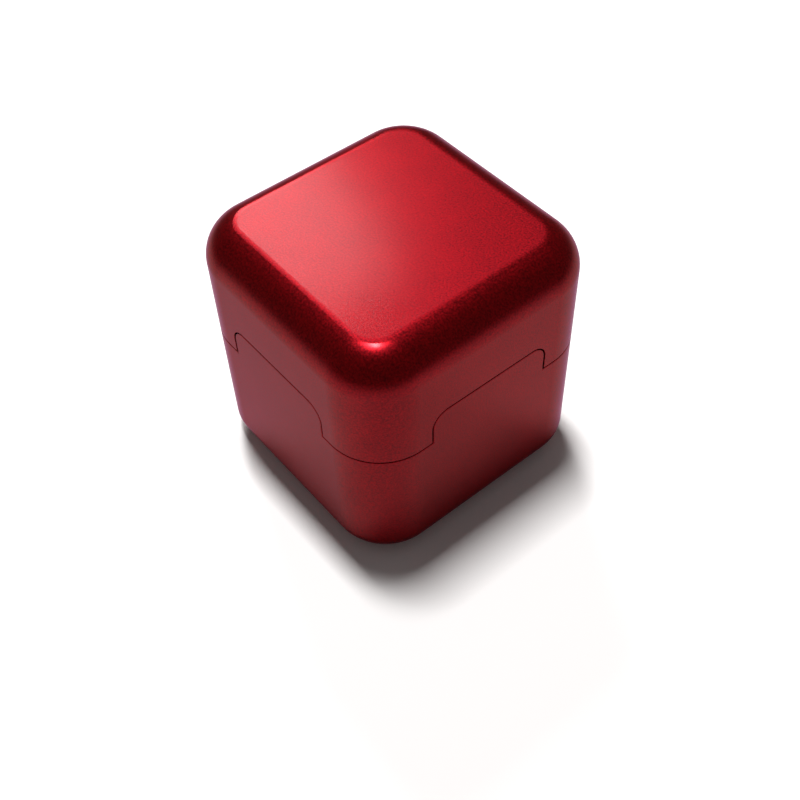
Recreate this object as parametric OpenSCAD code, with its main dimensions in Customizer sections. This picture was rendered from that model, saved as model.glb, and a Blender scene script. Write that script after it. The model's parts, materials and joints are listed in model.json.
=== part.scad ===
// Fidget cube: a lower body and a cap that key together along a stepped seam.
// The cap lifts on a sprung centre post, and the whole cube spins on a finger button that
// runs in a ball bearing in the underside.
// Millimetres, +Z up. The origin is on the table, under the middle of the cube.

/* [Cube] */
// Width across each pair of side faces
cube_w = 30; // [25:0.5:40]
// Height from the table to the top face
cube_h = 30; // [25:0.5:40]
// Radius of the four upright corners
corner_r = 6.2; // [5:0.1:7.5]
// Radius of the rounding round the top face
top_edge_r = 4.3; // [2:0.1:4.8]
// Depth lapped off the top face, which leaves a crisp line round it
top_lap = 0.08; // [0.04:0.01:0.2]
// Radius of the rounding round the underside
base_edge_r = 2.8; // [1.5:0.1:4]

/* [Seam] */
// Width of each corner leg of the cap, measured along a side face
leg_w = 7.7; // [6.4:0.1:9.3]
// Height of the cross ridge that stands between the legs
ridge_h = 3.8; // [3:0.1:4.6]
// Rounding along the top edges of the ridge
ridge_r = 1.8; // [1:0.1:2.2]
// Gap left all along the seam
seam_gap = 0.12; // [0.08:0.01:0.2]
// How far the lifted legs clear the ridge
lift_spare = 0.32; // [0.1:0.02:0.6]

/* [Magnets] */
// Diameter of the disc magnets in the legs and under them
magnet_d = 4; // [3:0.1:4.8]
// Thickness of the disc magnets
magnet_t = 2; // [1:0.1:2.5]

/* [Lift post and spring] */
// Diameter of the centre post
post_d = 5; // [4:0.1:6]
// Diameter of the threaded stub that holds the post in the cap
stub_d = 4; // [3:0.1:4.8]
// Metal left in the cap above the stub's bore
cap_roof = 3.2; // [2:0.1:4]
// Sliding clearance all round the post
slide_fit = 0.05; // [0.03:0.01:0.1]
// Thickness of the web that holds the guide bush
web_t = 3.9; // [3:0.1:5]
// Wall of the guide bush
bush_wall = 1; // [0.8:0.1:1.2]
// Thickness of the guide bush's flange, sunk in the web
flange_t = 1; // [0.6:0.1:1.4]
// Wire diameter of the return spring
wire_d = 0.4; // [0.3:0.02:0.5]
// Turns of the return spring
turns = 5; // [4:1:6]
// Space left between the turns when the cap is fully up
spring_spare = 0.3; // [0.1:0.05:0.6]
// Thickness of the washer above the spring
thrust_washer_t = 0.4; // [0.3:0.05:0.6]
// Thickness of the seat under the spring
seat_t = 1.2; // [1:0.1:1.5]

/* [Bearing] */
// Outside diameter of the ball bearing
bearing_d = 12.7; // [10.6:0.1:15.3]
// Bore of the ball bearing
bearing_bore = 6.35; // [5.3:0.05:7.6]
// Width of the ball bearing
bearing_w = 4.76; // [4:0.05:5.8]
// Diameter of the balls
ball_d = 1.56; // [1.4:0.02:1.6]
// Number of balls
balls = 10; // [7:1:11]
// Thickness of the retaining ring under the bearing
circlip_t = 0.4; // [0.3:0.05:0.6]

/* [Finger button] */
// Diameter of the button's face
button_d = 15.2; // [12.8:0.1:18.3]
// How far the button stands below the lower body
button_proud = 0.4; // [0.2:0.05:0.6]
// Depth of the recess that the button turns in
recess_depth = 1.2; // [1:0.05:1.6]
// Clearance round and above the button's head
button_gap = 0.3; // [0.2:0.05:0.5]
// Depth of the fingertip dish in the button
dish_depth = 0.5; // [0.2:0.05:0.6]

/* [Hidden] */
$fn = 96;
eps = 0.01;
past = 5;                      // how far a cutting shape runs past what it cuts
break_edge = 0.25;             // edge break on the turned pieces

// Ball bearing, measured from its axis
ball_r = ball_d / 2;
bearing_r = bearing_d / 2;
bore_r = bearing_bore / 2;
pitch_r = (bearing_r + bore_r) / 2;
groove_r = ball_r + 0.05;
land_half = 0.42;              // from the pitch circle to each ring's land
inner_land_r = pitch_r - land_half;
outer_land_r = pitch_r + land_half;
cage_half = 0.32;              // half the cage's wall
cage_h = ball_d + 0.5;
shield_t = 0.2;
shield_set = 0.1;              // how far a shield sits inside the bearing's face
shield_r = pitch_r + groove_r;

// Finger button and what clamps it
button_r = button_d / 2;
recess_r = button_r + button_gap;
button_rim = 2;                // flat rim round the button's dish
neck_r = inner_land_r - 0.4;
lip_t = 0.5;                   // metal between the recess and the ring's groove
circlip_bite = 0.4;            // how far the retaining ring reaches into the wall
washer_t = 0.3;
washer_r = inner_land_r - 0.1;
rotor_screw_r = 1;
rotor_hole_depth = 3.5;
rotor_head_r = 1.9;
rotor_head_h = 0.7;
rotor_gap = 0.24;              // between the turning screw and the spring seat

// Both screws
socket_flats = 1.3;
rotor_socket_depth = 0.4;
stop_socket_depth = 0.6;
hole_spare = 0.5;              // thread left beyond a screw's tip

// Post, bush and spring
post_r = post_d / 2;
stub_r = stub_d / 2;
bush_bore_r = post_r + slide_fit;
bush_r = post_r + bush_wall;
flange_r = bush_r + 1;
coil_r = post_r + 1;
travel = ridge_h - seam_gap + lift_spare;
spring_len = travel + turns * wire_d + spring_spare;
chamber_r = bearing_r - 0.95;
seat_r = chamber_r - 0.6;
stop_screw_r = post_r / 2;
stop_head_r = stop_screw_r + 1;
stop_hole_depth = 3;

// Heights, stacked up from the table
body_z = button_proud;
recess_z = body_z + recess_depth;
head_z = recess_z - button_gap;
circlip_z = recess_z + lip_t;
bearing_z = circlip_z + circlip_t;
bearing_top = bearing_z + bearing_w;
ball_z = bearing_z + bearing_w / 2;
washer_top = bearing_top + washer_t;
seat_z = washer_top + rotor_head_h + rotor_gap;
spring_z = seat_z + seat_t;
spring_top = spring_z + spring_len;
web_z = spring_top + thrust_washer_t;
ridge_z = web_z + web_t;
seam_z = ridge_z - ridge_h;
stub_top = cube_h - cap_roof - hole_spare;

// Plan: the corners, the ridge and the magnets
half_w = cube_w / 2;
corner_at = half_w - corner_r;
ridge_half = half_w - leg_w;
magnet_r = magnet_d / 2;
leg_flank = ridge_half + seam_gap;
// The wall is the same from a magnet to the leg's two flanks and to the upright corner
magnet_wall = (corner_r - magnet_r - sqrt(2) * (leg_flank + magnet_r - corner_at)) / (1 + sqrt(2));
magnet_at = leg_flank + magnet_r + magnet_wall;

red = "#B71F33";
steel = "#C9CCD1";
dark_steel = "#7E8388";
nickel = "#B9B6AE";
brass = "#B98F45";
acetal = "#E9E6DC";

// A turned piece: its half section is [radius, height] points
module turned(points) {
    rotate_extrude() polygon(points);
}

// A disc or ring from one height to another
module ring(outer_r, inner_r, z, top) {
    difference() {
        translate([0, 0, z]) cylinder(r = outer_r, h = top - z);
        translate([0, 0, z - past]) cylinder(r = inner_r, h = top - z + 2 * past);
    }
}

// A screw's hexagon socket, sized by its width across flats
module hex_socket(z, depth) {
    translate([0, 0, z]) cylinder(r = socket_flats / sqrt(3), h = depth, $fn = 6);
}

// Outline of a wall with rounded corners, standing on y = 0, with its top lapped flat
module wall_outline(half, h) {
    base_at = half - base_edge_r;
    top_at = half - top_edge_r;
    top_arc_y = h + top_lap - top_edge_r;
    translate([-base_at, 0]) square([2 * base_at, top_arc_y]);
    translate([-half, base_edge_r]) square([2 * half, top_arc_y - base_edge_r]);
    translate([-top_at, base_edge_r]) square([2 * top_at, h - base_edge_r]);
    for (x = [-base_at, base_at]) translate([x, base_edge_r]) circle(base_edge_r);
    intersection() {
        for (x = [-top_at, top_at]) translate([x, top_arc_y]) circle(top_edge_r);
        translate([-half, 0]) square([2 * half, h]);
    }
}

// The outside of the whole cube, without its seam
module block() {
    h = cube_h - body_z;
    translate([0, 0, body_z]) {
        for (turn = [0, 90])
            rotate([90, 0, turn]) linear_extrude(2 * corner_at, center = true) wall_outline(half_w, h);
        for (turn = [0:90:270])
            rotate(turn) translate([corner_at, corner_at]) rotate_extrude(angle = 90)
                intersection() {
                    wall_outline(corner_r, h);
                    square([corner_r, h]);
                }
    }
}

// Section of the cross ridge, grown by a gap
module ridge_section(gap) {
    half = ridge_half + gap;
    r = ridge_r + gap;
    top = ridge_z + gap;
    translate([-half, 0]) square([2 * half, top - r]);
    translate([r - half, 0]) square([2 * (half - r), top]);
    for (x = [r - half, half - r]) translate([x, top - r]) circle(r);
}

// Everything below the seam: a flat floor with the cross ridge standing on it
module below_seam(gap) {
    span = cube_w + 2 * past;
    translate([-span / 2, -span / 2, -past]) cube([span, span, seam_z + gap + past]);
    for (turn = [0, 90])
        rotate([90, 0, turn]) linear_extrude(span, center = true) ridge_section(gap);
}

// The four magnets' places, or one of them
module at_magnet(i) {
    rotate(90 * (i - 1)) translate([magnet_at, magnet_at, 0]) children();
}

module magnet(i, z) {
    color(nickel) at_magnet(i) translate([0, 0, z]) cylinder(d = magnet_d, h = magnet_t);
}

module magnet_pockets(z) {
    for (i = [1:4]) at_magnet(i) translate([0, 0, z]) cylinder(d = magnet_d, h = magnet_t + eps);
}

// Half section of the stepped bore through the lower body, from the underside up
function body_bore() = [
    [0, body_z - past], [recess_r, body_z - past], [recess_r, recess_z],
    [bearing_r, recess_z], [bearing_r, circlip_z],
    [bearing_r + circlip_bite, circlip_z], [bearing_r + circlip_bite, bearing_z],
    [bearing_r, bearing_z], [bearing_r, bearing_top],
    [chamber_r, bearing_top], [chamber_r, web_z],
    [bush_r, web_z], [bush_r, ridge_z - flange_t],
    [flange_r, ridge_z - flange_t], [flange_r, ridge_z + past], [0, ridge_z + past]];

module lower_body() {
    color(red) difference() {
        intersection() {
            block();
            below_seam(0);
        }
        turned(body_bore());
        magnet_pockets(seam_z - magnet_t);
    }
}

module upper_body() {
    color(red) difference() {
        block();
        below_seam(seam_gap);
        cylinder(d = stub_d, h = cube_h - cap_roof);
        translate([0, 0, -eps]) magnet_pockets(seam_z + seam_gap);
    }
}

// The post hangs from the cap by its stub, and takes the stop screw in its lower end
module lift_post() {
    shoulder_z = ridge_z + seam_gap;
    color(steel) turned([
        [stop_screw_r, spring_z], [post_r - break_edge, spring_z], [post_r, spring_z + break_edge],
        [post_r, shoulder_z], [stub_r, shoulder_z], [stub_r, stub_top - break_edge],
        [stub_r - break_edge, stub_top], [0, stub_top],
        [0, spring_z + stop_hole_depth], [stop_screw_r, spring_z + stop_hole_depth]]);
}

// Its flange stands up through the seam's gap, so that the cap comes down on it
module guide_bush() {
    color(acetal) turned([
        [bush_bore_r, web_z], [bush_r, web_z], [bush_r, ridge_z - flange_t],
        [flange_r, ridge_z - flange_t], [flange_r, ridge_z + seam_gap],
        [bush_bore_r, ridge_z + seam_gap]]);
}

module thrust_washer() {
    color(steel) ring(seat_r, post_r + 0.2, spring_top, web_z);
}

// Height along the wire: closed end turns, and an even rise between them
closed = 0.75;
function coil_z(turn) =
    let (rise = (spring_len - wire_d - 2 * closed * wire_d) / (turns - 2 * closed),
         middle = min(max(turn - closed, 0), turns - 2 * closed),
         ends = turn - middle)
    spring_z + wire_d / 2 + ends * wire_d + middle * rise;

module return_spring() {
    steps = 16;
    sides = 8;
    rings = turns * steps;
    points = [for (i = [0:rings], k = [0:sides - 1])
        let (a = 360 * i / steps, b = 360 * k / sides, r = coil_r + wire_d / 2 * cos(b))
        [r * cos(a), r * sin(a), coil_z(i / steps) + wire_d / 2 * sin(b)]];
    skin = [for (i = [0:rings - 1], k = [0:sides - 1])
        let (a = i * sides + k, b = i * sides + (k + 1) % sides)
        each [[a, b, b + sides], [a, b + sides, a + sides]]];
    start = [for (k = [sides - 1:-1:0]) k];
    end = [for (k = [0:sides - 1]) rings * sides + k];
    color(dark_steel) polyhedron(points, concat(skin, [start, end]));
}

// Countersunk from below, so that the screw lies flush
module spring_seat() {
    color(steel) turned([
        [stop_head_r, seat_z], [seat_r, seat_z], [seat_r, spring_z],
        [stop_screw_r, spring_z], [stop_screw_r, seat_z + stop_head_r - stop_screw_r]]);
}

module stop_screw() {
    tip = spring_z + stop_hole_depth - hole_spare;
    color(dark_steel) difference() {
        turned([
            [0, seat_z], [stop_head_r, seat_z], [stop_screw_r, seat_z + stop_head_r - stop_screw_r],
            [stop_screw_r, tip], [0, tip]]);
        hex_socket(seat_z - past, past + stop_socket_depth);
    }
}

// A dished head, a neck against the bearing's inner ring, and a stem through it
module finger_button() {
    dish_r = button_r - button_rim;
    sphere_r = (dish_r * dish_r + dish_depth * dish_depth) / (2 * dish_depth);
    color(red) difference() {
        turned([
            [0, 0], [button_r - break_edge, 0], [button_r, break_edge], [button_r, head_z],
            [neck_r, head_z], [neck_r, bearing_z], [bore_r, bearing_z], [bore_r, bearing_top],
            [rotor_screw_r, bearing_top], [rotor_screw_r, bearing_top - rotor_hole_depth],
            [0, bearing_top - rotor_hole_depth]]);
        translate([0, 0, dish_depth - sphere_r]) sphere(sphere_r);
    }
}

module rotor_washer() {
    color(steel) ring(washer_r, rotor_screw_r, bearing_top, washer_top);
}

module rotor_screw() {
    top = washer_top + rotor_head_h;
    foot = bearing_top - rotor_hole_depth + hole_spare;
    color(dark_steel) difference() {
        turned([
            [0, foot], [rotor_screw_r, foot], [rotor_screw_r, washer_top],
            [rotor_head_r, washer_top], [rotor_head_r, top], [0, top]]);
        hex_socket(top - rotor_socket_depth, past);
    }
}

// A bearing ring between two radii, with the ball groove and seats for the shields
module race(outer_r, inner_r) {
    difference() {
        ring(outer_r, inner_r, bearing_z, bearing_top);
        translate([0, 0, ball_z]) rotate_extrude() translate([pitch_r, 0]) circle(groove_r);
        for (z = [bearing_z - past, bearing_top - shield_set - shield_t])
            translate([0, 0, z]) cylinder(r = shield_r, h = past + shield_set + shield_t);
    }
}

module bearing_outer_ring() {
    color(steel) race(bearing_r, outer_land_r);
}

module bearing_inner_ring() {
    color(steel) difference() {
        ring(inner_land_r, bore_r, bearing_z, bearing_top);
        translate([0, 0, ball_z]) rotate_extrude() translate([pitch_r, 0]) circle(groove_r);
    }
}

module at_ball(i) {
    rotate(360 * (i - 1) / balls) translate([pitch_r, 0, ball_z]) children();
}

module bearing_ball(i) {
    color(steel) at_ball(i) sphere(ball_r);
}

module bearing_cage() {
    color(brass) difference() {
        ring(pitch_r + cage_half, pitch_r - cage_half, ball_z - cage_h / 2, ball_z + cage_h / 2);
        for (i = [1:balls])
            at_ball(i) rotate([0, 90, 0]) cylinder(r = groove_r, h = 4 * cage_half, center = true);
    }
}

module bearing_shield(z) {
    color(steel) ring(shield_r, inner_land_r + 0.1, z, z + shield_t);
}

// An open retaining ring with two lugs for pliers
module bearing_circlip() {
    lug_r = 0.7;
    eye_r = 0.3;
    clip_r = bearing_r + circlip_bite - 0.1;
    clip_w = 1;
    lug_at = clip_r - clip_w - 0.1;
    lug_angle = 16;
    mouth_angle = 8;
    color(dark_steel) difference() {
        union() {
            ring(clip_r, clip_r - clip_w, circlip_z, bearing_z);
            for (a = [-lug_angle, lug_angle])
                rotate(a) translate([lug_at, 0, circlip_z]) cylinder(r = lug_r, h = circlip_t);
        }
        for (a = [-lug_angle, lug_angle])
            rotate(a) translate([lug_at, 0, 0]) cylinder(r = eye_r, h = bearing_z + past);
        linear_extrude(bearing_z + past)
            polygon([[0, 0], for (a = [-mouth_angle, mouth_angle]) 2 * bearing_r * [cos(a), sin(a)]]);
    }
}

lower_body();
upper_body();
lift_post();
guide_bush();
thrust_washer();
return_spring();
spring_seat();
stop_screw();
finger_button();
rotor_washer();
rotor_screw();
bearing_outer_ring();
bearing_inner_ring();
bearing_cage();
bearing_circlip();
bearing_shield(bearing_z + shield_set);  // bearing_shield_lower
bearing_shield(bearing_top - shield_set - shield_t);  // bearing_shield_upper
for (i = [1:4]) magnet(i, seam_z - magnet_t);
for (i = [1:4]) magnet(i, seam_z + seam_gap);
for (i = [1:balls]) bearing_ball(i);
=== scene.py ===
"""A red anodised fidget cube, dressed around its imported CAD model.

The two halves of the cube, the lifting gear between them and the finger button
underneath are modelled here in detail. The bearing and the small fasteners keep
their CAD meshes and get finishes. Every length is in metres.
"""

from __future__ import annotations

import json
import logging
import math
from collections.abc import Callable, Iterator, Sequence
from contextlib import contextmanager
from dataclasses import dataclass, field
from enum import Enum
from itertools import pairwise
from typing import Any

import bmesh
import bpy
from mathutils import Matrix, Vector

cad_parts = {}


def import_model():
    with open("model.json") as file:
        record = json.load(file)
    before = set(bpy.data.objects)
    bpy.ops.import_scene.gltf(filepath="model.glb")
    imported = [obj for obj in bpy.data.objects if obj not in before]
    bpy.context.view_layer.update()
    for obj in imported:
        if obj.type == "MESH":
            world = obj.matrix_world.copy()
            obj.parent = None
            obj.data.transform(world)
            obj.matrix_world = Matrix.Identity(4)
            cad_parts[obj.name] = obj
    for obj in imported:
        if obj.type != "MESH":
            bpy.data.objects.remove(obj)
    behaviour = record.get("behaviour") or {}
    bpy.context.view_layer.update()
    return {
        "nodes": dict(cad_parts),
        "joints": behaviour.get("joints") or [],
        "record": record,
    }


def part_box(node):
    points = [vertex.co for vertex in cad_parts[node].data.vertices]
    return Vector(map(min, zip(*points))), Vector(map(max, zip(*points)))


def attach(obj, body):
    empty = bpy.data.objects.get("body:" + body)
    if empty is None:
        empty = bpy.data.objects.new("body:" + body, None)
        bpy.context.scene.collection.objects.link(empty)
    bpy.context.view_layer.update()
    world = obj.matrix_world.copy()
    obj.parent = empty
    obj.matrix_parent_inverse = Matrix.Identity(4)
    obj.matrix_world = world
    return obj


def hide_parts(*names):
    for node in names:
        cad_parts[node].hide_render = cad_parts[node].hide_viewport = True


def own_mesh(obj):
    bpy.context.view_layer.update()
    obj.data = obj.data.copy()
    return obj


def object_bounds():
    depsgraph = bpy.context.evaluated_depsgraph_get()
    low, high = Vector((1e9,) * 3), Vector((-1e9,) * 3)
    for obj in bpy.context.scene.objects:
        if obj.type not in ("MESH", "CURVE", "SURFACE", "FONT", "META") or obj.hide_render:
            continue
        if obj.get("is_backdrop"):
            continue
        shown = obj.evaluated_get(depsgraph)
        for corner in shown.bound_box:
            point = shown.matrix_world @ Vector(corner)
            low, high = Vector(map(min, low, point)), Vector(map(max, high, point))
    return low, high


LOG = logging.getLogger("fidget_cube")

MM = 0.001
WELD = 1e-7  # merging distance, far below any real feature
FLANGE = 1 * MM  # thickness and width of the guide bush's flange

Point = tuple[float, float]


class Body(Enum):
    """The rigid bodies that remodelled pieces ride on."""

    LOWER = "lower"
    CAP = "cap"
    ROTOR = "rotor"


class Slot(Enum):
    """The record's material slots."""

    ANODISED = "anodised_red"
    GROUND = "ground_steel"
    POLISHED = "polished_steel"
    SPRING = "spring_steel"
    BLACK = "black_screw"
    NICKEL = "nickel_plate"
    BRASS = "brass_cage"
    ACETAL = "acetal"


# ---------------------------------------------------------------- colours and nodes


def linear(hex_colour: str) -> tuple[float, float, float, float]:
    """Turn an sRGB hex value to a linear colour.

    Args:
        hex_colour: six hex digits, with or without a leading hash.

    Returns:
        Linear red, green, blue and an alpha of 1.
    """
    digits = hex_colour.lstrip("#")
    channels = [int(digits[i : i + 2], 16) / 255 for i in (0, 2, 4)]
    red, green, blue = (c / 12.92 if c <= 0.04045 else ((c + 0.055) / 1.055) ** 2.4 for c in channels)
    return red, green, blue, 1.0


def add_node(
    tree: bpy.types.NodeTree,
    kind: str,
    settings: dict[str, Any] | None = None,
    inputs: dict[str, Any] | None = None,
) -> bpy.types.Node:
    """Add one shader node.

    Args:
        tree: the node tree it goes in.
        kind: the node's bl_idname.
        settings: the node's own properties.
        inputs: socket name to a value, or to the output socket that feeds it.

    Returns:
        The new node.
    """
    node = tree.nodes.new(kind)
    for name, value in (settings or {}).items():
        setattr(node, name, value)
    for name, value in (inputs or {}).items():
        socket = node.inputs[int(name)] if name.isdigit() else node.inputs[name]
        if isinstance(value, bpy.types.NodeSocket):
            tree.links.new(value, socket)
        else:
            socket.default_value = value
    return node


def blank_material(name: str) -> tuple[bpy.types.Material, bpy.types.NodeTree]:
    """Make a material with an empty node tree.

    Args:
        name: the material's name.

    Returns:
        The material and its node tree.
    """
    material = bpy.data.materials.new(name)
    material.use_nodes = True
    material.node_tree.nodes.clear()
    return material, material.node_tree


def object_noise(tree: bpy.types.NodeTree, grain: float, detail: float = 2.0) -> bpy.types.NodeSocket:
    """Give noise on Object coordinates whose lumps are about a grain wide.

    Args:
        tree: the node tree it goes in.
        grain: the width of one lump, in metres.
        detail: how many finer octaves are added.

    Returns:
        The noise's 0 to 1 output.
    """
    place = add_node(tree, "ShaderNodeTexCoord")
    noise = add_node(
        tree,
        "ShaderNodeTexNoise",
        inputs={"Vector": place.outputs["Object"], "Scale": 1 / grain, "Detail": detail, "Roughness": 0.55},
    )
    return noise.outputs["Fac"]


def spread(
    tree: bpy.types.NodeTree, source: bpy.types.NodeSocket, low: float, high: float, gather: float = 0.3
) -> bpy.types.NodeSocket:
    """Stretch the middle of a noise over a range of values.

    Args:
        tree: the node tree it goes in.
        source: the 0 to 1 output to stretch.
        low: the value at the noise's dark end.
        high: the value at its bright end.
        gather: how much of each end of the noise is cut off.

    Returns:
        The stretched output.
    """
    node = add_node(
        tree,
        "ShaderNodeMapRange",
        inputs={
            "Value": source,
            "From Min": gather,
            "From Max": 1 - gather,
            "To Min": low,
            "To Max": high,
        },
    )
    return node.outputs["Result"]


def two_tone(
    tree: bpy.types.NodeTree, factor: bpy.types.NodeSocket, dark: str, light: str
) -> bpy.types.NodeSocket:
    """Mix two colours by a pattern.

    Args:
        tree: the node tree it goes in.
        factor: 0 for the dark colour, 1 for the light one.
        dark: hex colour.
        light: hex colour.

    Returns:
        The mixed colour.
    """
    ramp = add_node(tree, "ShaderNodeValToRGB", inputs={"Fac": factor})
    ramp.color_ramp.elements[0].color = linear(dark)
    ramp.color_ramp.elements[1].color = linear(light)
    return ramp.outputs["Color"]


# ---------------------------------------------------------------- finishes


@dataclass(frozen=True)
class RedAnodising:
    """Aluminium, lapped on top and blasted elsewhere, then dyed red and sealed.

    Most of the colour is the metal's own red reflection, seen through the dyed oxide, so
    faces turned away from a lamp go nearly black. The lapped face is rougher and has a
    stronger grain. A thin clear skin adds a weak white reflection, and the sheen turns
    mauve at low angles.
    """

    name: str = "red_anodising"
    dark: str = "#560305"
    light: str = "#8A0609"
    metal: float = 0.8
    sheen_tint: str = "#BE70AE"
    blasted: tuple[float, float] = (0.28, 0.36)
    lapped: tuple[float, float] = (0.38, 0.52)
    grain: float = 0.2 * MM  # real dimples are near 0.05 mm, drawn coarser so that they show
    grain_share: float = 0.92
    mottle: float = 2.6 * MM
    mottle_share: tuple[float, float] = (0.01, 0.07)
    dimple_depth: float = 0.011 * MM
    side_grain: float = 0.4
    skin: float = 0.07
    skin_roughness: float = 0.17
    skin_ior: float = 1.6
    lapped_depth: tuple[float, float] = (0.03 * MM, 0.005 * MM)

    def lapped_face(self, tree: bpy.types.NodeTree) -> bpy.types.NodeSocket:
        """Give 1 on the lapped top face and 0 elsewhere.

        Args:
            tree: the node tree it goes in.

        Returns:
            The mask's output.
        """
        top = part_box("upper_body")[1][2]
        lowest, highest = (top - depth for depth in self.lapped_depth)
        place = add_node(tree, "ShaderNodeTexCoord")
        split = add_node(tree, "ShaderNodeSeparateXYZ", inputs={"Vector": place.outputs["Object"]})
        mask = add_node(
            tree,
            "ShaderNodeMapRange",
            inputs={"Value": split.outputs["Z"], "From Min": lowest, "From Max": highest},
        )
        return mask.outputs["Result"]

    def make(self) -> bpy.types.Material:
        """Build the material."""
        material, tree = blank_material(self.name)
        fine = object_noise(tree, self.grain, 1.0)
        cloud = object_noise(tree, self.mottle)
        both = add_node(
            tree,
            "ShaderNodeMath",
            {"operation": "MULTIPLY_ADD"},
            {"0": fine, "1": self.grain_share, "2": spread(tree, cloud, *self.mottle_share)},
        )
        colour = two_tone(tree, spread(tree, both.outputs[0], 0.0, 1.0, 0.25), self.dark, self.light)
        roughness = add_node(
            tree,
            "ShaderNodeMix",
            inputs={
                "Factor": self.lapped_face(tree),
                "2": spread(tree, fine, *self.blasted),
                "3": spread(tree, fine, *self.lapped),
            },
        )
        strength = spread(tree, self.lapped_face(tree), self.side_grain, 1.0)
        bump = add_node(
            tree,
            "ShaderNodeBump",
            inputs={"Strength": strength, "Distance": self.dimple_depth, "Height": fine},
        )
        shader = add_node(
            tree,
            "ShaderNodeBsdfPrincipled",
            inputs={
                "Base Color": colour,
                "Metallic": self.metal,
                "Roughness": roughness.outputs["Result"],
                "Coat Weight": self.skin,
                "Coat Roughness": self.skin_roughness,
                "Coat IOR": self.skin_ior,
                "Specular Tint": linear(self.sheen_tint),
                "Normal": bump.outputs["Normal"],
            },
        )
        add_node(tree, "ShaderNodeOutputMaterial", inputs={"Surface": shader.outputs["BSDF"]})
        return material


@dataclass(frozen=True)
class WorkedMetal:
    """Bare or plated metal: drawn, ground, stamped or polished.

    Turning marks run round the upright axis as fine rings, and a soft cloud in the
    roughness gives the uneven shine of handled metal.
    """

    name: str
    dark: str
    light: str
    roughness: tuple[float, float]
    ring_width: float = 0.0
    mark_depth: float = 0.0
    cloud: float = 0.8 * MM

    def make(self) -> bpy.types.Material:
        """Build the material."""
        material, tree = blank_material(self.name)
        cloud = object_noise(tree, self.cloud)
        marks = self.rings(tree) if self.ring_width else object_noise(tree, self.cloud / 6, 1.0)
        bump = add_node(
            tree,
            "ShaderNodeBump",
            inputs={"Strength": 1.0, "Distance": self.mark_depth, "Height": marks},
        )
        shader = add_node(
            tree,
            "ShaderNodeBsdfPrincipled",
            inputs={
                "Base Color": two_tone(tree, spread(tree, marks, 0.0, 1.0, 0.2), self.dark, self.light),
                "Metallic": 1.0,
                "Roughness": spread(tree, cloud, *self.roughness),
                "Normal": bump.outputs["Normal"],
            },
        )
        add_node(tree, "ShaderNodeOutputMaterial", inputs={"Surface": shader.outputs["BSDF"]})
        return material

    def rings(self, tree: bpy.types.NodeTree) -> bpy.types.NodeSocket:
        """Give turning marks: noise that only changes with radius and height.

        Args:
            tree: the node tree they go in.

        Returns:
            The marks' 0 to 1 output.
        """
        place = add_node(tree, "ShaderNodeTexCoord")
        split = add_node(tree, "ShaderNodeSeparateXYZ", inputs={"Vector": place.outputs["Object"]})
        flat = add_node(
            tree, "ShaderNodeCombineXYZ", inputs={"X": split.outputs["X"], "Y": split.outputs["Y"]}
        )
        radius = add_node(
            tree, "ShaderNodeVectorMath", {"operation": "LENGTH"}, {"0": flat.outputs["Vector"]}
        )
        line = add_node(
            tree,
            "ShaderNodeCombineXYZ",
            inputs={"X": radius.outputs["Value"], "Y": split.outputs["Z"]},
        )
        noise = add_node(
            tree,
            "ShaderNodeTexNoise",
            inputs={"Vector": line.outputs["Vector"], "Scale": 1 / self.ring_width, "Detail": 2.0},
        )
        return noise.outputs["Fac"]


@dataclass(frozen=True)
class TurnedAcetal:
    """Acetal bar turned on a lathe: milky, waxy, with faint tool marks."""

    name: str = "turned_acetal"
    dark: str = "#D9D4C4"
    light: str = "#EFEBDF"
    mark_width: float = 0.09 * MM

    def make(self) -> bpy.types.Material:
        """Build the material."""
        material, tree = blank_material(self.name)
        marks = object_noise(tree, self.mark_width, 1.0)
        bump = add_node(
            tree, "ShaderNodeBump", inputs={"Strength": 1.0, "Distance": 0.002 * MM, "Height": marks}
        )
        shader = add_node(
            tree,
            "ShaderNodeBsdfPrincipled",
            inputs={
                "Base Color": two_tone(tree, marks, self.dark, self.light),
                "Roughness": spread(tree, marks, 0.35, 0.48),
                "IOR": 1.48,
                "Subsurface Weight": 0.15,
                "Subsurface Radius": (0.6 * MM, 0.5 * MM, 0.4 * MM),
                "Normal": bump.outputs["Normal"],
            },
        )
        add_node(tree, "ShaderNodeOutputMaterial", inputs={"Surface": shader.outputs["BSDF"]})
        return material


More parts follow.
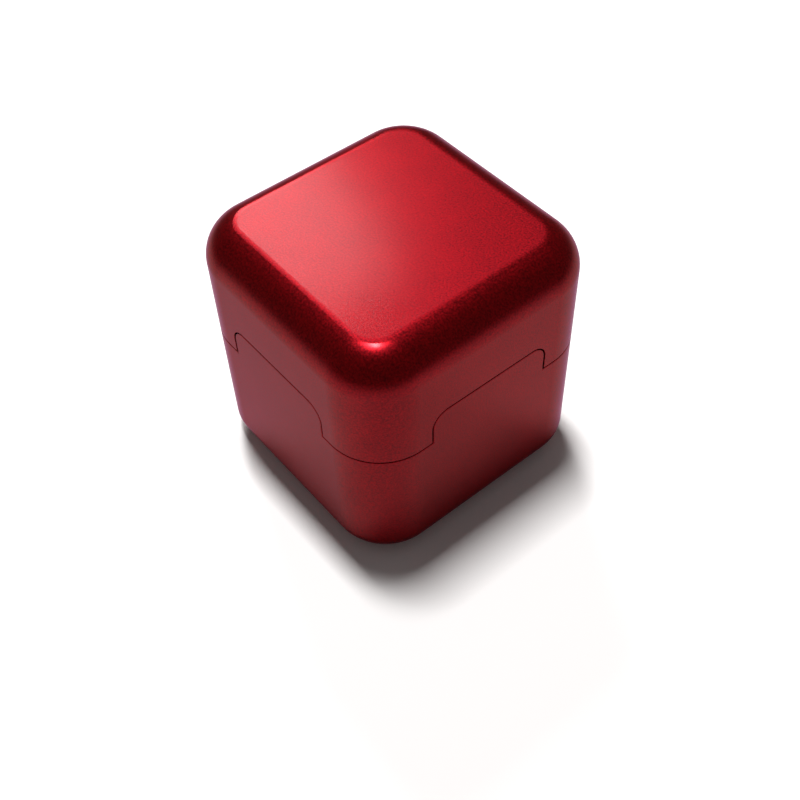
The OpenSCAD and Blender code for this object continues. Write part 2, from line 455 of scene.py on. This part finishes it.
@dataclass
class FinishBook:
    """One material for each slot, made once and shared by every piece."""

    materials: dict[Slot, bpy.types.Material] = field(default_factory=dict)

    def __post_init__(self) -> None:
        """Make every finish."""
        finishes = {
            Slot.ANODISED: RedAnodising(),
            Slot.GROUND: WorkedMetal(
                "ground_steel", "#A6A9AE", "#D2D4D8", (0.16, 0.3), ring_width=0.05 * MM, mark_depth=0.001 * MM
            ),
            Slot.POLISHED: WorkedMetal("polished_balls", "#C9CCD0", "#DEE0E3", (0.05, 0.1)),
            Slot.SPRING: WorkedMetal(
                "drawn_spring_wire", "#7C7F84", "#9EA2A7", (0.22, 0.36), mark_depth=0.001 * MM
            ),
            Slot.BLACK: WorkedMetal(
                "black_oxide_steel",
                "#1C1D20",
                "#333438",
                (0.34, 0.5),
                ring_width=0.07 * MM,
                mark_depth=0.001 * MM,
            ),
            Slot.NICKEL: WorkedMetal(
                "nickel_plate", "#BDB7AA", "#D8D3C6", (0.12, 0.24), mark_depth=0.001 * MM
            ),
            Slot.BRASS: WorkedMetal(
                "tumbled_brass", "#A87C33", "#CFA65A", (0.24, 0.38), mark_depth=0.002 * MM
            ),
            Slot.ACETAL: TurnedAcetal(),
        }
        self.materials = {slot: finish.make() for slot, finish in finishes.items()}

    def dress(self, piece: bpy.types.Object, slot: Slot) -> None:
        """Give a piece one finish all over.

        Args:
            piece: the object to dress.
            slot: whose finish it takes.
        """
        piece.data.materials.clear()
        piece.data.materials.append(self.materials[slot])


# ---------------------------------------------------------------- modelling by hand


def take(piece: bpy.types.Object) -> None:
    """Select one object alone and make it active."""
    bpy.ops.object.select_all(action="DESELECT")
    piece.select_set(True)
    bpy.context.view_layer.objects.active = piece


@contextmanager
def editing(piece: bpy.types.Object, mode: str = "VERT") -> Iterator[bpy.types.Object]:
    """Hold a piece in edit mode with nothing selected.

    Args:
        piece: the mesh object to edit.
        mode: VERT, EDGE or FACE.

    Yields:
        The same object.
    """
    take(piece)
    bpy.ops.object.mode_set(mode="EDIT")
    bpy.ops.mesh.select_mode(type=mode)
    bpy.ops.mesh.select_all(action="DESELECT")
    try:
        yield piece
    finally:
        bpy.ops.object.mode_set(mode="OBJECT")


def pick_edges(piece: bpy.types.Object, test: Callable[[Vector, Vector], bool]) -> None:
    """Select the edges whose two ends pass a test, in edit mode.

    Args:
        piece: the object in edit mode.
        test: takes an edge's two ends.
    """
    mesh = bmesh.from_edit_mesh(piece.data)
    for edge in mesh.edges:
        if test(edge.verts[0].co, edge.verts[1].co):
            edge.select = True
    mesh.select_flush_mode()
    bmesh.update_edit_mesh(piece.data)


def add_box(name: str, low: Sequence[float], high: Sequence[float]) -> bpy.types.Object:
    """Add a box between two corners, with its place in its mesh.

    Args:
        name: the object's name.
        low: its lowest corner.
        high: its highest corner.

    Returns:
        The new object.
    """
    bpy.ops.object.select_all(action="DESELECT")
    middle = [(a + b) / 2 for a, b in zip(low, high)]
    bpy.ops.mesh.primitive_cube_add(size=1, location=middle)
    box = bpy.context.object
    box.name = name
    box.scale = [b - a for a, b in zip(low, high)]
    bpy.ops.object.transform_apply(location=True, rotation=True, scale=True)
    return box


def rounded_section(corners: Sequence[tuple[float, float, float]], steps: int = 5) -> list[Point]:
    """Round the corners of a half section.

    Args:
        corners: (radius, height, rounding) for each corner; a rounding of 0 keeps it sharp.
        steps: pieces in each rounding.

    Returns:
        The section's points, in the same order.
    """
    points: list[Point] = []
    last = len(corners) - 1
    for i, (r, z, rounding) in enumerate(corners):
        if not rounding or i in (0, last):
            points.append((r, z))
            continue
        here = Vector((r, z))
        before = (Vector(corners[i - 1][:2]) - here).normalized()
        after = (Vector(corners[i + 1][:2]) - here).normalized()
        half = before.angle(after) / 2
        reach = rounding / math.tan(half)
        middle = here + (before + after).normalized() * (rounding / math.sin(half))
        start = here + before * reach - middle
        finish = here + after * reach - middle
        sweep = start.angle_signed(finish)
        for k in range(steps + 1):
            turned_arm = start.copy()
            turned_arm.rotate(Matrix.Rotation(-sweep * k / steps, 2))
            points.append(tuple(middle + turned_arm))
    return points


def turn_piece(name: str, section: Sequence[Point], steps: int = 96) -> bpy.types.Object:
    """Turn a piece on the upright axis, as on a lathe.

    Args:
        name: the object's name.
        section: (radius, height) points; off the axis at both ends, the section is closed.
        steps: how many steps the full turn takes.

    Returns:
        The turned object.
    """
    points = list(section)
    if points[0][0] > 0 or points[-1][0] > 0:
        points.append(points[0])
    bpy.ops.object.select_all(action="DESELECT")
    bpy.ops.mesh.primitive_plane_add(size=MM, location=(points[0][0], 0, points[0][1]))
    piece = bpy.context.object
    piece.name = name
    bpy.ops.object.transform_apply(location=True, rotation=True, scale=True)
    with editing(piece):
        bpy.ops.mesh.select_all(action="SELECT")
        bpy.ops.mesh.merge(type="CENTER")
        for (r0, z0), (r1, z1) in pairwise(points):
            bpy.ops.mesh.extrude_region_move(TRANSFORM_OT_translate={"value": (r1 - r0, 0, z1 - z0)})
        bpy.ops.mesh.select_all(action="SELECT")
        bpy.ops.mesh.remove_doubles(threshold=WELD)
        bpy.ops.mesh.spin(steps=steps, angle=math.tau, center=(0, 0, 0), axis=(0, 0, 1))
        bpy.ops.mesh.select_all(action="SELECT")
        bpy.ops.mesh.remove_doubles(threshold=WELD)
        bpy.ops.mesh.dissolve_degenerate(threshold=WELD)
        bpy.ops.mesh.select_all(action="SELECT")
        bpy.ops.mesh.normals_make_consistent(inside=False)
    return piece


def combine(piece: bpy.types.Object, tool: bpy.types.Object, operation: str) -> None:
    """Subtract, add or keep only what two solids share, and drop the tool.

    Args:
        piece: the solid that is changed.
        tool: the solid that works on it.
        operation: DIFFERENCE, UNION or INTERSECT.
    """
    take(piece)
    cut = piece.modifiers.new("cut", "BOOLEAN")
    cut.operation = operation
    cut.solver = "EXACT"
    cut.object = tool
    bpy.ops.object.modifier_apply(modifier=cut.name)
    bpy.data.objects.remove(tool)


def break_edges(piece: bpy.types.Object, width: float, sharpest: float = 38.0) -> None:
    """Take the sharpness off a machined piece's edges.

    Args:
        piece: the solid to finish.
        width: how far the break reaches from each edge.
        sharpest: edges that turn less than this many degrees are left.
    """
    take(piece)
    edge_break = piece.modifiers.new("edge_break", "BEVEL")
    edge_break.width = width
    edge_break.segments = 2
    edge_break.limit_method = "ANGLE"
    edge_break.angle_limit = math.radians(sharpest)
    edge_break.use_clamp_overlap = True
    bpy.ops.object.modifier_apply(modifier=edge_break.name)


def smooth(piece: bpy.types.Object, angle: float = 32.0) -> None:
    """Shade a piece smooth, with its flats kept flat.

    Args:
        piece: the object to shade.
        angle: edges that turn more than this many degrees stay crisp.
    """
    take(piece)
    bpy.ops.object.shade_smooth_by_angle(angle=math.radians(angle))
    for modifier in list(piece.modifiers):
        bpy.ops.object.modifier_apply(modifier=modifier.name)
    weighted = piece.modifiers.new("flat_faces_flat", "WEIGHTED_NORMAL")
    weighted.keep_sharp = True
    bpy.ops.object.modifier_apply(modifier=weighted.name)


def fit_piece(piece: bpy.types.Object, body: Body, slot: Slot, book: FinishBook, *nodes: str) -> None:
    """Dress a finished piece, put it on its body and let it stand for its CAD nodes.

    Args:
        piece: the finished object.
        body: the body it rides on.
        slot: the finish it takes.
        book: the finishes.
        nodes: the CAD nodes that it replaces.
    """
    book.dress(piece, slot)
    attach(piece, body.value)
    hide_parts(*nodes)
    LOG.info("%s: %d faces, on %s", piece.name, len(piece.data.polygons), body.value)


# ---------------------------------------------------------------- the two halves


@dataclass
class CubeHalves:
    """The lower block with its cross ridge, and the cap with its four corner legs."""

    book: FinishBook
    corner_radius: float = 6.2 * MM
    top_radius: float = 4.3 * MM
    lap: float = 0.08 * MM
    base_radius: float = 2.8 * MM
    crease_break: float = 0.35 * MM
    leg_width: float = 7.7 * MM
    ridge_rounding: float = 1.8 * MM
    edge_break: float = 0.18 * MM
    corner_steps: int = 20
    button_gap: float = 0.3 * MM
    lip: float = 0.5 * MM
    groove_depth: float = 0.4 * MM
    chamber_gap: float = 0.6 * MM
    stub_radius: float = 2.0 * MM
    thread_spare: float = 0.5 * MM
    past: float = 5 * MM

    def __post_init__(self) -> None:
        """Read the cube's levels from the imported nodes."""
        low, ridge_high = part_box("lower_body")
        cap_low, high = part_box("upper_body")
        self.low, self.high = Vector(low), Vector(high)
        self.ridge_z = ridge_high[2]
        self.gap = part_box("guide_bush")[1][2] - self.ridge_z
        self.seam_z = cap_low[2] - self.gap
        self.half = self.high.x
        self.ridge_half = self.half - self.leg_width

    def block(self, name: str) -> bpy.types.Object:
        """Model the outside of the whole cube.

        Args:
            name: the object's name.

        Returns:
            The rounded block.
        """
        crown = self.high + Vector((0, 0, self.lap))
        block = add_box(name, self.low, crown)
        with editing(block, "EDGE"):
            pick_edges(block, lambda a, b: abs(a.z - b.z) > self.corner_radius)
            self.round_picked(self.corner_radius)
            pick_edges(block, lambda a, b: min(a.z, b.z) > crown.z - WELD)
            self.round_picked(self.top_radius)
            pick_edges(block, lambda a, b: max(a.z, b.z) < self.low.z + WELD)
            self.round_picked(self.base_radius)
            bpy.ops.mesh.select_all(action="SELECT")
            bpy.ops.mesh.bisect(
                plane_co=self.high, plane_no=(0, 0, 1), use_fill=True, clear_outer=True, threshold=WELD / 10
            )
            bpy.ops.mesh.select_all(action="DESELECT")
            pick_edges(block, lambda a, b: min(a.z, b.z) > self.high.z - WELD)
            bpy.ops.mesh.bevel(offset=self.crease_break, segments=4, profile=0.5, affect="EDGES")
        return block

    def round_picked(self, radius: float) -> None:
        """Round the selected edges and drop the selection.

        Args:
            radius: the rounding's radius.
        """
        bpy.ops.mesh.bevel(offset=radius, segments=self.corner_steps, profile=0.5, affect="EDGES")
        bpy.ops.mesh.select_all(action="DESELECT")

    def ridge(self, along_x: bool, gap: float) -> bpy.types.Object:
        """Model one bar of the cross ridge, longer than the cube is wide.

        Args:
            along_x: whether the bar runs along X; otherwise it runs along Y.
            gap: how much it is grown all round.

        Returns:
            The bar.
        """
        side = self.ridge_half + gap
        reach = self.half + self.past
        span = (reach, side) if along_x else (side, reach)
        low = (-span[0], -span[1], self.seam_z - self.past)
        bar = add_box("ridge_bar", low, (span[0], span[1], self.ridge_z + gap))
        lengthwise = 0 if along_x else 1
        with editing(bar, "EDGE"):
            pick_edges(
                bar,
                lambda a, b: min(a.z, b.z) > self.seam_z and abs(a[lengthwise] - b[lengthwise]) > reach,
            )
            bpy.ops.mesh.bevel(offset=self.ridge_rounding + gap, segments=10, profile=0.5, affect="EDGES")
        return bar

    def below_seam(self, gap: float) -> bpy.types.Object:
        """Model everything below the seam, as one tool for cutting.

        Args:
            gap: how far it is grown upwards and outwards.

        Returns:
            The tool.
        """
        reach = self.half + 2 * self.past
        floor = add_box("below_seam", (-reach, -reach, -reach), (reach, reach, self.seam_z + gap))
        for along_x in (True, False):
            combine(floor, self.ridge(along_x, gap), "UNION")
        return floor

    def bore_section(self) -> list[Point]:
        """Give the stepped bore of the lower block, from its underside up."""
        button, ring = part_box("finger_button"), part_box("bearing_outer_ring")
        clip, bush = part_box("bearing_circlip"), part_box("guide_bush")
        seat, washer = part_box("spring_seat"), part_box("thrust_washer")
        recess = button[1][0] + self.button_gap
        ceiling = clip[0][2] - self.lip
        bearing, groove = ring[1][0], ring[1][0] + self.groove_depth
        chamber = seat[1][0] + self.chamber_gap
        flange_z = self.ridge_z - FLANGE
        barrel = bush[1][0] - FLANGE
        return [
            (0, self.low.z - self.past), (recess, self.low.z - self.past), (recess, ceiling),
            (bearing, ceiling), (bearing, clip[0][2]), (groove, clip[0][2]), (groove, ring[0][2]),
            (bearing, ring[0][2]), (bearing, ring[1][2]), (chamber, ring[1][2]),
            (chamber, washer[1][2]), (barrel, washer[1][2]), (barrel, flange_z),
            (bush[1][0], flange_z), (bush[1][0], self.ridge_z + self.past),
            (0, self.ridge_z + self.past),
        ]

    def cut_pockets(self, half: bpy.types.Object, magnets: str, open_end: int) -> None:
        """Cut the four magnet pockets of one half.

        Args:
            half: the half they are cut in.
            magnets: the start of its magnets' node names.
            open_end: -1 where the pockets open downwards, 1 where they open upwards.
        """
        for i in range(1, 5):
            low, high = (Vector(corner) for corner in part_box(f"{magnets}_{i}"))
            (low if open_end < 0 else high).z += open_end * MM
            bpy.ops.object.select_all(action="DESELECT")
            bpy.ops.mesh.primitive_cylinder_add(
                vertices=48, radius=(high.x - low.x) / 2, depth=high.z - low.z, location=(low + high) / 2
            )
            combine(half, bpy.context.object, "DIFFERENCE")

    def finish_half(self, half: bpy.types.Object, body: Body, node: str) -> None:
        """Break the edges of a half, shade it and fit it.

        Args:
            half: the cut half.
            body: the body it rides on.
            node: the CAD node it stands for.
        """
        break_edges(half, self.edge_break)
        smooth(half)
        fit_piece(half, body, Slot.ANODISED, self.book, node)

    def build(self) -> None:
        """Model both halves."""
        base = self.block("lower_block")
        combine(base, self.below_seam(0), "INTERSECT")
        combine(base, turn_piece("bore", self.bore_section()), "DIFFERENCE")
        self.cut_pockets(base, "lower_magnet", 1)
        self.finish_half(base, Body.LOWER, "lower_body")

        cap = self.block("cap_block")
        combine(cap, self.below_seam(self.gap), "DIFFERENCE")
        bore_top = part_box("lift_post")[1][2] + self.thread_spare
        bore = [(0, 0), (self.stub_radius, 0), (self.stub_radius, bore_top), (0, bore_top)]
        combine(cap, turn_piece("stub_bore", bore, 64), "DIFFERENCE")
        self.cut_pockets(cap, "upper_magnet", -1)
        self.finish_half(cap, Body.CAP, "upper_body")


# ---------------------------------------------------------------- the lifting gear


@dataclass
class LiftingGear:
    """The post that the cap hangs on, the bush it slides in and the spring round it."""

    book: FinishBook
    travel: float
    fine: float = 0.12 * MM
    stub_radius: float = 2.0 * MM
    screw_radius: float = 1.25 * MM
    thread_spare: float = 0.5 * MM
    bush_bore: float = 2.55 * MM
    wire: float = 0.4 * MM
    turns: int = 5
    closed: float = 0.75
    steps_per_turn: int = 40

    def post(self) -> bpy.types.Object:
        """Turn the post, with its threaded stub and the hole for the stop screw."""
        low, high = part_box("lift_post")
        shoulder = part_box("guide_bush")[1][2]
        screw_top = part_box("stop_screw")[1][2]
        radius, stub, hole = high[0], self.stub_radius, self.screw_radius
        floor = screw_top + self.thread_spare
        section = [
            (hole, low[2], 0), (radius, low[2], 2 * self.fine), (radius, shoulder, self.fine),
            (stub, shoulder, self.fine), (stub, high[2], 2 * self.fine), (0, high[2], 0),
        ]
        inside = [(0, floor, 0), (hole, floor, self.fine), (hole, low[2], 0)]
        return turn_piece("centre_post", rounded_section(section) + rounded_section(inside))

    def bush(self) -> bpy.types.Object:
        """Turn the flanged guide bush."""
        low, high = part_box("guide_bush")
        flange, bore = high[0], self.bush_bore
        barrel = flange - FLANGE
        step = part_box("lower_body")[1][2] - FLANGE
        return turn_piece(
            "post_bush",
            rounded_section([
                (bore, high[2] - MM, 0), (bore, low[2], self.fine), (barrel, low[2], self.fine),
                (barrel, step, self.fine), (flange, step, self.fine), (flange, high[2], self.fine),
                (bore, high[2], 2 * self.fine), (bore, high[2] - MM, 0),
            ])[:-1],
        )

    def spring(self) -> bpy.types.Object:
        """Wind the spring: closed end turns, and an even rise between them."""
        low, high = (Vector(corner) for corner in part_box("return_spring"))
        coil_radius = high.x - self.wire / 2
        rising = self.turns - 2 * self.closed
        rise = (high.z - low.z - self.wire * (1 + 2 * self.closed)) / rising
        curve = bpy.data.curves.new("spring_wire", "CURVE")
        curve.dimensions = "3D"
        curve.bevel_depth = self.wire / 2
        curve.bevel_resolution = 3
        curve.use_fill_caps = True
        count = self.turns * self.steps_per_turn
        spline = curve.splines.new("POLY")
        spline.points.add(count)
        for i, point in enumerate(spline.points):
            turn = i / self.steps_per_turn
            middle = min(max(turn - self.closed, 0), rising)
            z = low.z + self.wire / 2 + (turn - middle) * self.wire + middle * rise
            around = math.tau * turn
            point.co = (coil_radius * math.cos(around), coil_radius * math.sin(around), z, 1)
        spring = bpy.data.objects.new("lift_spring", curve)
        bpy.context.scene.collection.objects.link(spring)
        take(spring)
        bpy.ops.object.convert(target="MESH")
        spring = bpy.context.object
        with editing(spring):
            bpy.ops.mesh.select_all(action="SELECT")
            bpy.ops.mesh.remove_doubles(threshold=WELD)
            bpy.ops.mesh.normals_make_consistent(inside=False)
        return spring

    def build(self) -> None:
        """Model the post, the bush and the spring."""
        post = self.post()
        smooth(post)
        fit_piece(post, Body.CAP, Slot.GROUND, self.book, "lift_post")
        bush = self.bush()
        smooth(bush)
        fit_piece(bush, Body.LOWER, Slot.ACETAL, self.book, "guide_bush")
        spring = self.spring()
        smooth(spring, 60)
        fit_piece(spring, Body.LOWER, Slot.SPRING, self.book, "return_spring")
        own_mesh(spring)


# ---------------------------------------------------------------- magnets


@dataclass
class MagnetSet:
    """Eight nickel-plated discs: one under each leg, and one in it."""

    book: FinishBook
    rim: float = 0.16 * MM

    def first(self) -> bpy.types.Object:
        """Model one disc, round the origin, with the plating's rounded rims."""
        low, high = (Vector(corner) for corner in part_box("lower_magnet_1"))
        bpy.ops.object.select_all(action="DESELECT")
        bpy.ops.mesh.primitive_cylinder_add(vertices=64, radius=(high.x - low.x) / 2, depth=high.z - low.z)
        disc = bpy.context.object
        with editing(disc, "EDGE"):
            pick_edges(disc, lambda a, b: abs(a.z - b.z) < WELD)
            bpy.ops.mesh.bevel(offset=self.rim, segments=4, profile=0.5, affect="EDGES")
        return disc

    def build(self) -> None:
        """Copy the disc to its eight places."""
        disc = self.first()
        for row, body in (("lower", Body.LOWER), ("upper", Body.CAP)):
            for i in range(1, 5):
                node = f"{row}_magnet_{i}"
                low, high = (Vector(corner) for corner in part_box(node))
                copy = disc.copy()
                copy.data = disc.data.copy()
                copy.name = f"{row}_disc_{i}"
                bpy.context.scene.collection.objects.link(copy)
                copy.location = (low + high) / 2
                take(copy)
                bpy.ops.object.transform_apply(location=True, rotation=True, scale=True)
                smooth(copy)
                fit_piece(copy, body, Slot.NICKEL, self.book, node)
        bpy.data.objects.remove(disc)


# ---------------------------------------------------------------- the finger button


@dataclass
class FingerButton:
    """The dished button under the cube, with the stem that turns in the bearing."""

    book: FinishBook
    rim: float = 2.0 * MM
    dish: float = 0.5 * MM
    fine: float = 0.12 * MM
    edge: float = 0.3 * MM
    neck_height: float = 1.2 * MM
    neck_inset: float = 0.4 * MM
    stem_radius: float = 3.175 * MM
    screw_radius: float = 1.0 * MM
    screw_depth: float = 3.5 * MM
    dish_steps: int = 24

    def build(self) -> None:
        """Turn the button and fit it."""
        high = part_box("finger_button")[1]
        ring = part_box("bearing_inner_ring")
        radius, head = high[0], ring[0][2] - self.neck_height
        neck, stem, hole = ring[1][0] - self.neck_inset, self.stem_radius, self.screw_radius
        floor = high[2] - self.screw_depth
        dish_radius = radius - self.rim
        sphere = (dish_radius**2 + self.dish**2) / (2 * self.dish)
        sweep = math.asin(dish_radius / sphere)
        angles = [sweep * k / self.dish_steps for k in range(self.dish_steps + 1)]
        dish = [(sphere * math.sin(a), self.dish - sphere * (1 - math.cos(a))) for a in angles]
        outside = rounded_section([
            (dish_radius, 0, 0), (radius, 0, self.edge), (radius, head, self.edge), (neck, head, self.fine),
            (neck, ring[0][2], self.fine), (stem, ring[0][2], self.fine), (stem, high[2], 2 * self.fine),
            (hole, high[2], self.fine), (hole, floor, self.fine), (0, floor, 0),
        ])
        button = turn_piece("finger_rest", dish + outside[1:], 128)
        smooth(button)
        fit_piece(button, Body.ROTOR, Slot.ANODISED, self.book, "finger_button")


def dress_frame(frame: dict[str, Any], book: FinishBook) -> None:
    """Give every CAD node its finish.

    Args:
        book: the finishes.
    """
    for part in frame["record"]["subparts"]:
        node = frame["nodes"][part["node"]]
        for slot in node.material_slots:
            slot.material = book.materials[Slot(part["material_slot"])]


# ---------------------------------------------------------------- studio


@dataclass(frozen=True)
class Lamp:
    """A soft rectangular lamp that faces the cube, in metres and watts."""

    name: str
    towards: tuple[float, float, float]
    long_side: tuple[float, float, float]
    size: tuple[float, float]
    power: float
    distance: float = 0.45

    def hang(self) -> None:
        """Hang the lamp."""
        data = bpy.data.lights.new(self.name, "AREA")
        data.shape = "RECTANGLE"
        data.size, data.size_y = self.size
        data.energy = self.power
        lamp = bpy.data.objects.new(self.name, data)
        behind = Vector(self.towards).normalized()
        along = Vector(self.long_side)
        along = (along - along.dot(behind) * behind).normalized()
        turn = Matrix((along, behind.cross(along), behind)).transposed().to_4x4()
        lamp.matrix_world = Matrix.Translation(behind * self.distance) @ turn
        bpy.context.scene.collection.objects.link(lamp)


@dataclass
class Studio:
    """A white table with a painted pool of light, two soft lamps, a dim room and the camera.

    The key lamp hangs nearly overhead and casts the short shadow. The strip lamp, low
    behind on the left, is there for its reflection in the lapped face.
    """

    azimuth: float = 52.39
    elevation: float = 50.2
    roll: float = -2.37
    distance: float = 121.42 * MM
    lens: float = 51.13
    aside: float = 0.59 * MM
    below: float = 7.25 * MM
    table_half: float = 2.0
    # Painted pool of light: the table's colour is white near the pool's middle and fades to a painted shade
    # grey further out.
    painted_pool_middle: tuple[float, float, float] = (-30 * MM, 25 * MM, 0.0)
    painted_pool_edge: tuple[float, float] = (92 * MM, 170 * MM)
    table_sink: float = 0.01 * MM  # keeps the table clear of the button's flat rim
    painted_shade_grey: str = "#B4B2B2"
    table_white: str = "#F6F4F3"
    room: str = "#625F5F"
    lamps: tuple[Lamp, ...] = (
        Lamp("key_lamp", (-0.145, 0.035, 0.98), (1, 0, 0), (0.1, 0.045), 2.1),
        Lamp("strip_lamp", (-0.69, 0.33, 0.645), (0.86, 0, 0.51), (0.16, 0.08), 1.1),
    )

    def frame_axes(self) -> tuple[Vector, Vector, Vector]:
        """Give the camera's right, up and backward directions."""
        turn, tilt, roll = (math.radians(a) for a in (self.azimuth, self.elevation, self.roll))
        back = Vector((math.sin(turn) * math.cos(tilt), -math.cos(turn) * math.cos(tilt), math.sin(tilt)))
        level = Vector((0, 0, 1)).cross(back).normalized()
        rise = back.cross(level)
        right = level * math.cos(roll) + rise * math.sin(roll)
        return right, back.cross(right), back

    def place_camera(self) -> None:
        """Stand the camera up, aimed at the middle of the cube and shifted a little."""
        low, high = (Vector(corner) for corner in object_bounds())
        right, up, back = self.frame_axes()
        data = bpy.data.cameras.new("camera")
        data.lens = self.lens
        data.sensor_width = 36
        data.clip_start = MM
        camera = bpy.data.objects.new("camera", data)
        turn = Matrix((right, up, back)).transposed().to_4x4()
        place = (low + high) / 2 + back * self.distance + right * self.aside - up * self.below
        camera.matrix_world = Matrix.Translation(place) @ turn
        bpy.context.scene.collection.objects.link(camera)
        bpy.context.scene.camera = camera

    def lay_table(self) -> None:
        """Lay a matt white table under the cube, its colour painted as a pool of light that fades to painted
        shade further out.
        """
        bpy.ops.object.select_all(action="DESELECT")
        bpy.ops.mesh.primitive_plane_add(size=2 * self.table_half, location=(0, 0, -self.table_sink))
        table = bpy.context.object
        table.name = "table"
        material, tree = blank_material("white_table_painted_pool")
        place = add_node(tree, "ShaderNodeTexCoord")
        reach = add_node(
            tree,
            "ShaderNodeVectorMath",
            {"operation": "DISTANCE"},
            {"0": place.outputs["Object"], "1": self.painted_pool_middle},
        )
        near, far = self.painted_pool_edge
        # Painted shade: the table's colour darkens with distance from the pool's middle.
        shade = add_node(
            tree,
            "ShaderNodeMapRange",
            {"interpolation_type": "SMOOTHSTEP"},
            {
                "Value": reach.outputs["Value"],
                "From Min": near,
                "From Max": far,
                "To Min": 1.0,
                "To Max": 0.0,
            },
        )
        shader = add_node(
            tree,
            "ShaderNodeBsdfPrincipled",
            inputs={
                "Base Color": two_tone(tree, shade.outputs["Result"], self.painted_shade_grey, self.table_white),
                "Roughness": 0.8,
                "Specular IOR Level": 0.1,
            },
        )
        add_node(tree, "ShaderNodeOutputMaterial", inputs={"Surface": shader.outputs["BSDF"]})
        table.data.materials.append(material)
        table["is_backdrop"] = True

    def light_room(self) -> None:
        """Light the room: dim all round."""
        world = bpy.data.worlds.new("room")
        bpy.context.scene.world = world
        world.use_nodes = True
        tree = world.node_tree
        tree.nodes.clear()
        back = add_node(tree, "ShaderNodeBackground", inputs={"Color": linear(self.room), "Strength": 1.0})
        add_node(tree, "ShaderNodeOutputWorld", inputs={"Surface": back.outputs["Background"]})

    def build(self) -> None:
        """Set up the whole studio."""
        self.place_camera()
        self.lay_table()
        for lamp in self.lamps:
            lamp.hang()
        self.light_room()
        bpy.context.scene.view_settings.view_transform = "Standard"


def main() -> None:
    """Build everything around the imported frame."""
    logging.basicConfig(level=logging.INFO, format="%(name)s: %(message)s")
    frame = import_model()
    Studio().build()
    book = FinishBook()
    dress_frame(frame, book)
    travel = next(max(joint["range_m"]) for joint in frame["joints"] if joint["name"] == "cap_lift")
    for assembly in (CubeHalves(book), LiftingGear(book, travel), MagnetSet(book), FingerButton(book)):
        assembly.build()


if __name__ == "__main__":
    main()
